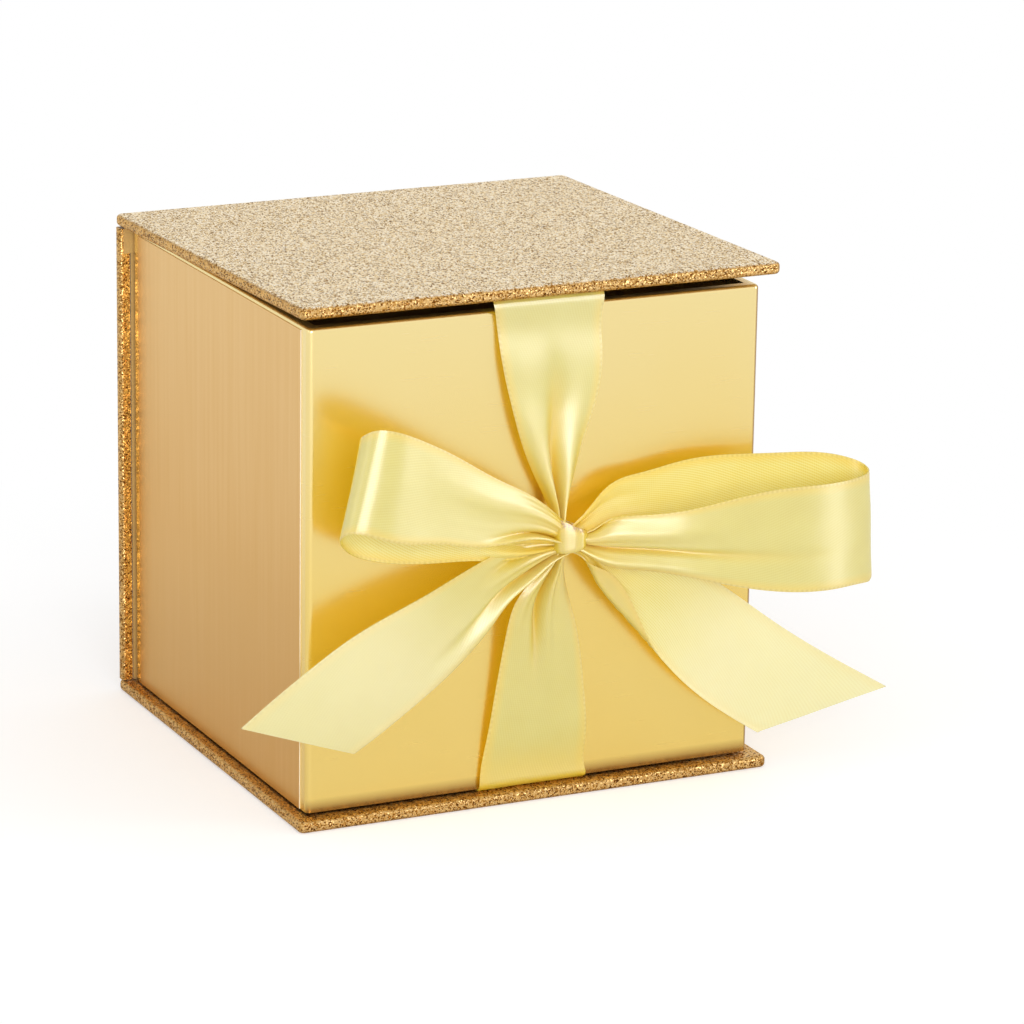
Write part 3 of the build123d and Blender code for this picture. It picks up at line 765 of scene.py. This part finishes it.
def white_to_the_eye(tree, light, background, mirrored=True):
    """One strength for the light that reaches the object, another for what the camera and gloss see."""
    path = tree.nodes.new("ShaderNodeLightPath")
    seen = path.outputs["Is Camera Ray"]
    for name in ("Is Glossy Ray", "Is Transmission Ray") if mirrored else ():
        either = tree.nodes.new("ShaderNodeMath")
        either.operation = "MAXIMUM"
        tree.links.new(seen, either.inputs[0])
        tree.links.new(path.outputs[name], either.inputs[1])
        seen = either.outputs[0]
    strength = tree.nodes.new("ShaderNodeMapRange")
    strength.inputs["To Min"].default_value = light
    strength.inputs["To Max"].default_value = background
    tree.links.new(seen, strength.inputs["Value"])
    return strength.outputs["Result"]


def make_world():
    world = bpy.data.worlds.new("studio")
    world.use_nodes = True
    bpy.context.scene.world = world
    backdrop = world.node_tree.nodes["Background"]
    backdrop.inputs["Color"].default_value = (1.0, 1.0, 1.0, 1.0)
    strength = white_to_the_eye(world.node_tree, SKY_LIGHT, 1.0)
    world.node_tree.links.new(strength, backdrop.inputs["Strength"])


def make_floor():
    """A white floor that takes the box's shadow and turns to plain white further off."""
    mesh = bpy.data.meshes.new("floor")
    corners = [(x * FLOOR_HALF, y * FLOOR_HALF, 0) for x, y in ((-1, -1), (1, -1), (1, 1), (-1, 1))]
    mesh.from_pydata(corners, [], [(0, 1, 2, 3)])
    floor = bpy.data.objects.new("floor", mesh)
    bpy.context.scene.collection.objects.link(floor)
    paint = Paint("floor")
    paint.set(Base_Color=(0.70, 0.70, 0.70, 1.0), Roughness=0.9, Emission_Color=(1.0, 1.0, 1.0, 1.0))
    glow = white_to_the_eye(paint.tree, 0.0, FLOOR_GLOW)
    direct = white_to_the_eye(paint.tree, 0.0, FLOOR_WHITE, mirrored=False)
    paint.set(Emission_Strength=paint.math("ADD", glow, direct))
    plain = paint.node("Emission", {"Strength": white_to_the_eye(paint.tree, 0.8, 1.0)})
    far = {"Value": paint.vector_math("LENGTH", paint.place())}
    far.update({"From Min": FLOOR_FADE[0], "From Max": FLOOR_FADE[1]})
    share = paint.node("MapRange", far, interpolation_type="SMOOTHSTEP").outputs["Result"]
    blend = paint.node("MixShader", {0: share, 1: paint.shader.outputs[0], 2: plain.outputs[0]})
    paint.tree.links.new(blend.outputs[0], paint.tree.nodes["Material Output"].inputs["Surface"])
    mesh.materials.append(paint.material)


def softbox(name, azimuth, elevation, distance, size, power):
    """A rectangular lamp that faces the box from this azimuth: 0 is straight in front and 90 to the right."""
    lamp = bpy.data.lights.new(name, "AREA")
    lamp.shape = "RECTANGLE"
    lamp.size, lamp.size_y = size
    lamp.energy = power
    thing = bpy.data.objects.new(name, lamp)
    bpy.context.scene.collection.objects.link(thing)
    a, e = math.radians(azimuth), math.radians(elevation)
    back = Vector((math.sin(a) * math.cos(e), -math.cos(a) * math.cos(e), math.sin(e)))
    thing.location = CAMERA_TARGET + back * distance
    thing.rotation_euler = back.to_track_quat("Z", "Y").to_euler()


def make_camera():
    camera = bpy.data.objects.new("camera", bpy.data.cameras.new("camera"))
    bpy.context.scene.collection.objects.link(camera)
    a, e, r = (math.radians(x) for x in (CAMERA_AZIMUTH, CAMERA_ELEVATION, CAMERA_ROLL))
    back = Vector((math.sin(a) * math.cos(e), -math.cos(a) * math.cos(e), math.sin(e)))
    right = Vector((math.cos(a), math.sin(a), 0))
    up = back.cross(right)
    turned = [right * math.cos(r) + up * math.sin(r), up * math.cos(r) - right * math.sin(r), back]
    stand = Matrix.Translation(CAMERA_TARGET + back * CAMERA_DISTANCE)
    camera.matrix_world = stand @ Matrix(turned).transposed().to_4x4()
    camera.data.lens, camera.data.sensor_width = CAMERA_LENS, CAMERA_SENSOR
    bpy.context.scene.camera = camera


make_world()
make_floor()
softbox("key", -20, 14, 0.9, (0.44, 0.38), 3.2)
softbox("fill_right", 55, 14, 0.9, (0.22, 0.38), 1.4)
softbox("fill_left", -78, 34, 0.9, (0.35, 0.80), 0.5)
softbox("overhead", 10, 82, 0.9, (0.7, 0.7), 0.9)
make_camera()
bpy.context.scene.view_settings.view_transform = "Standard"
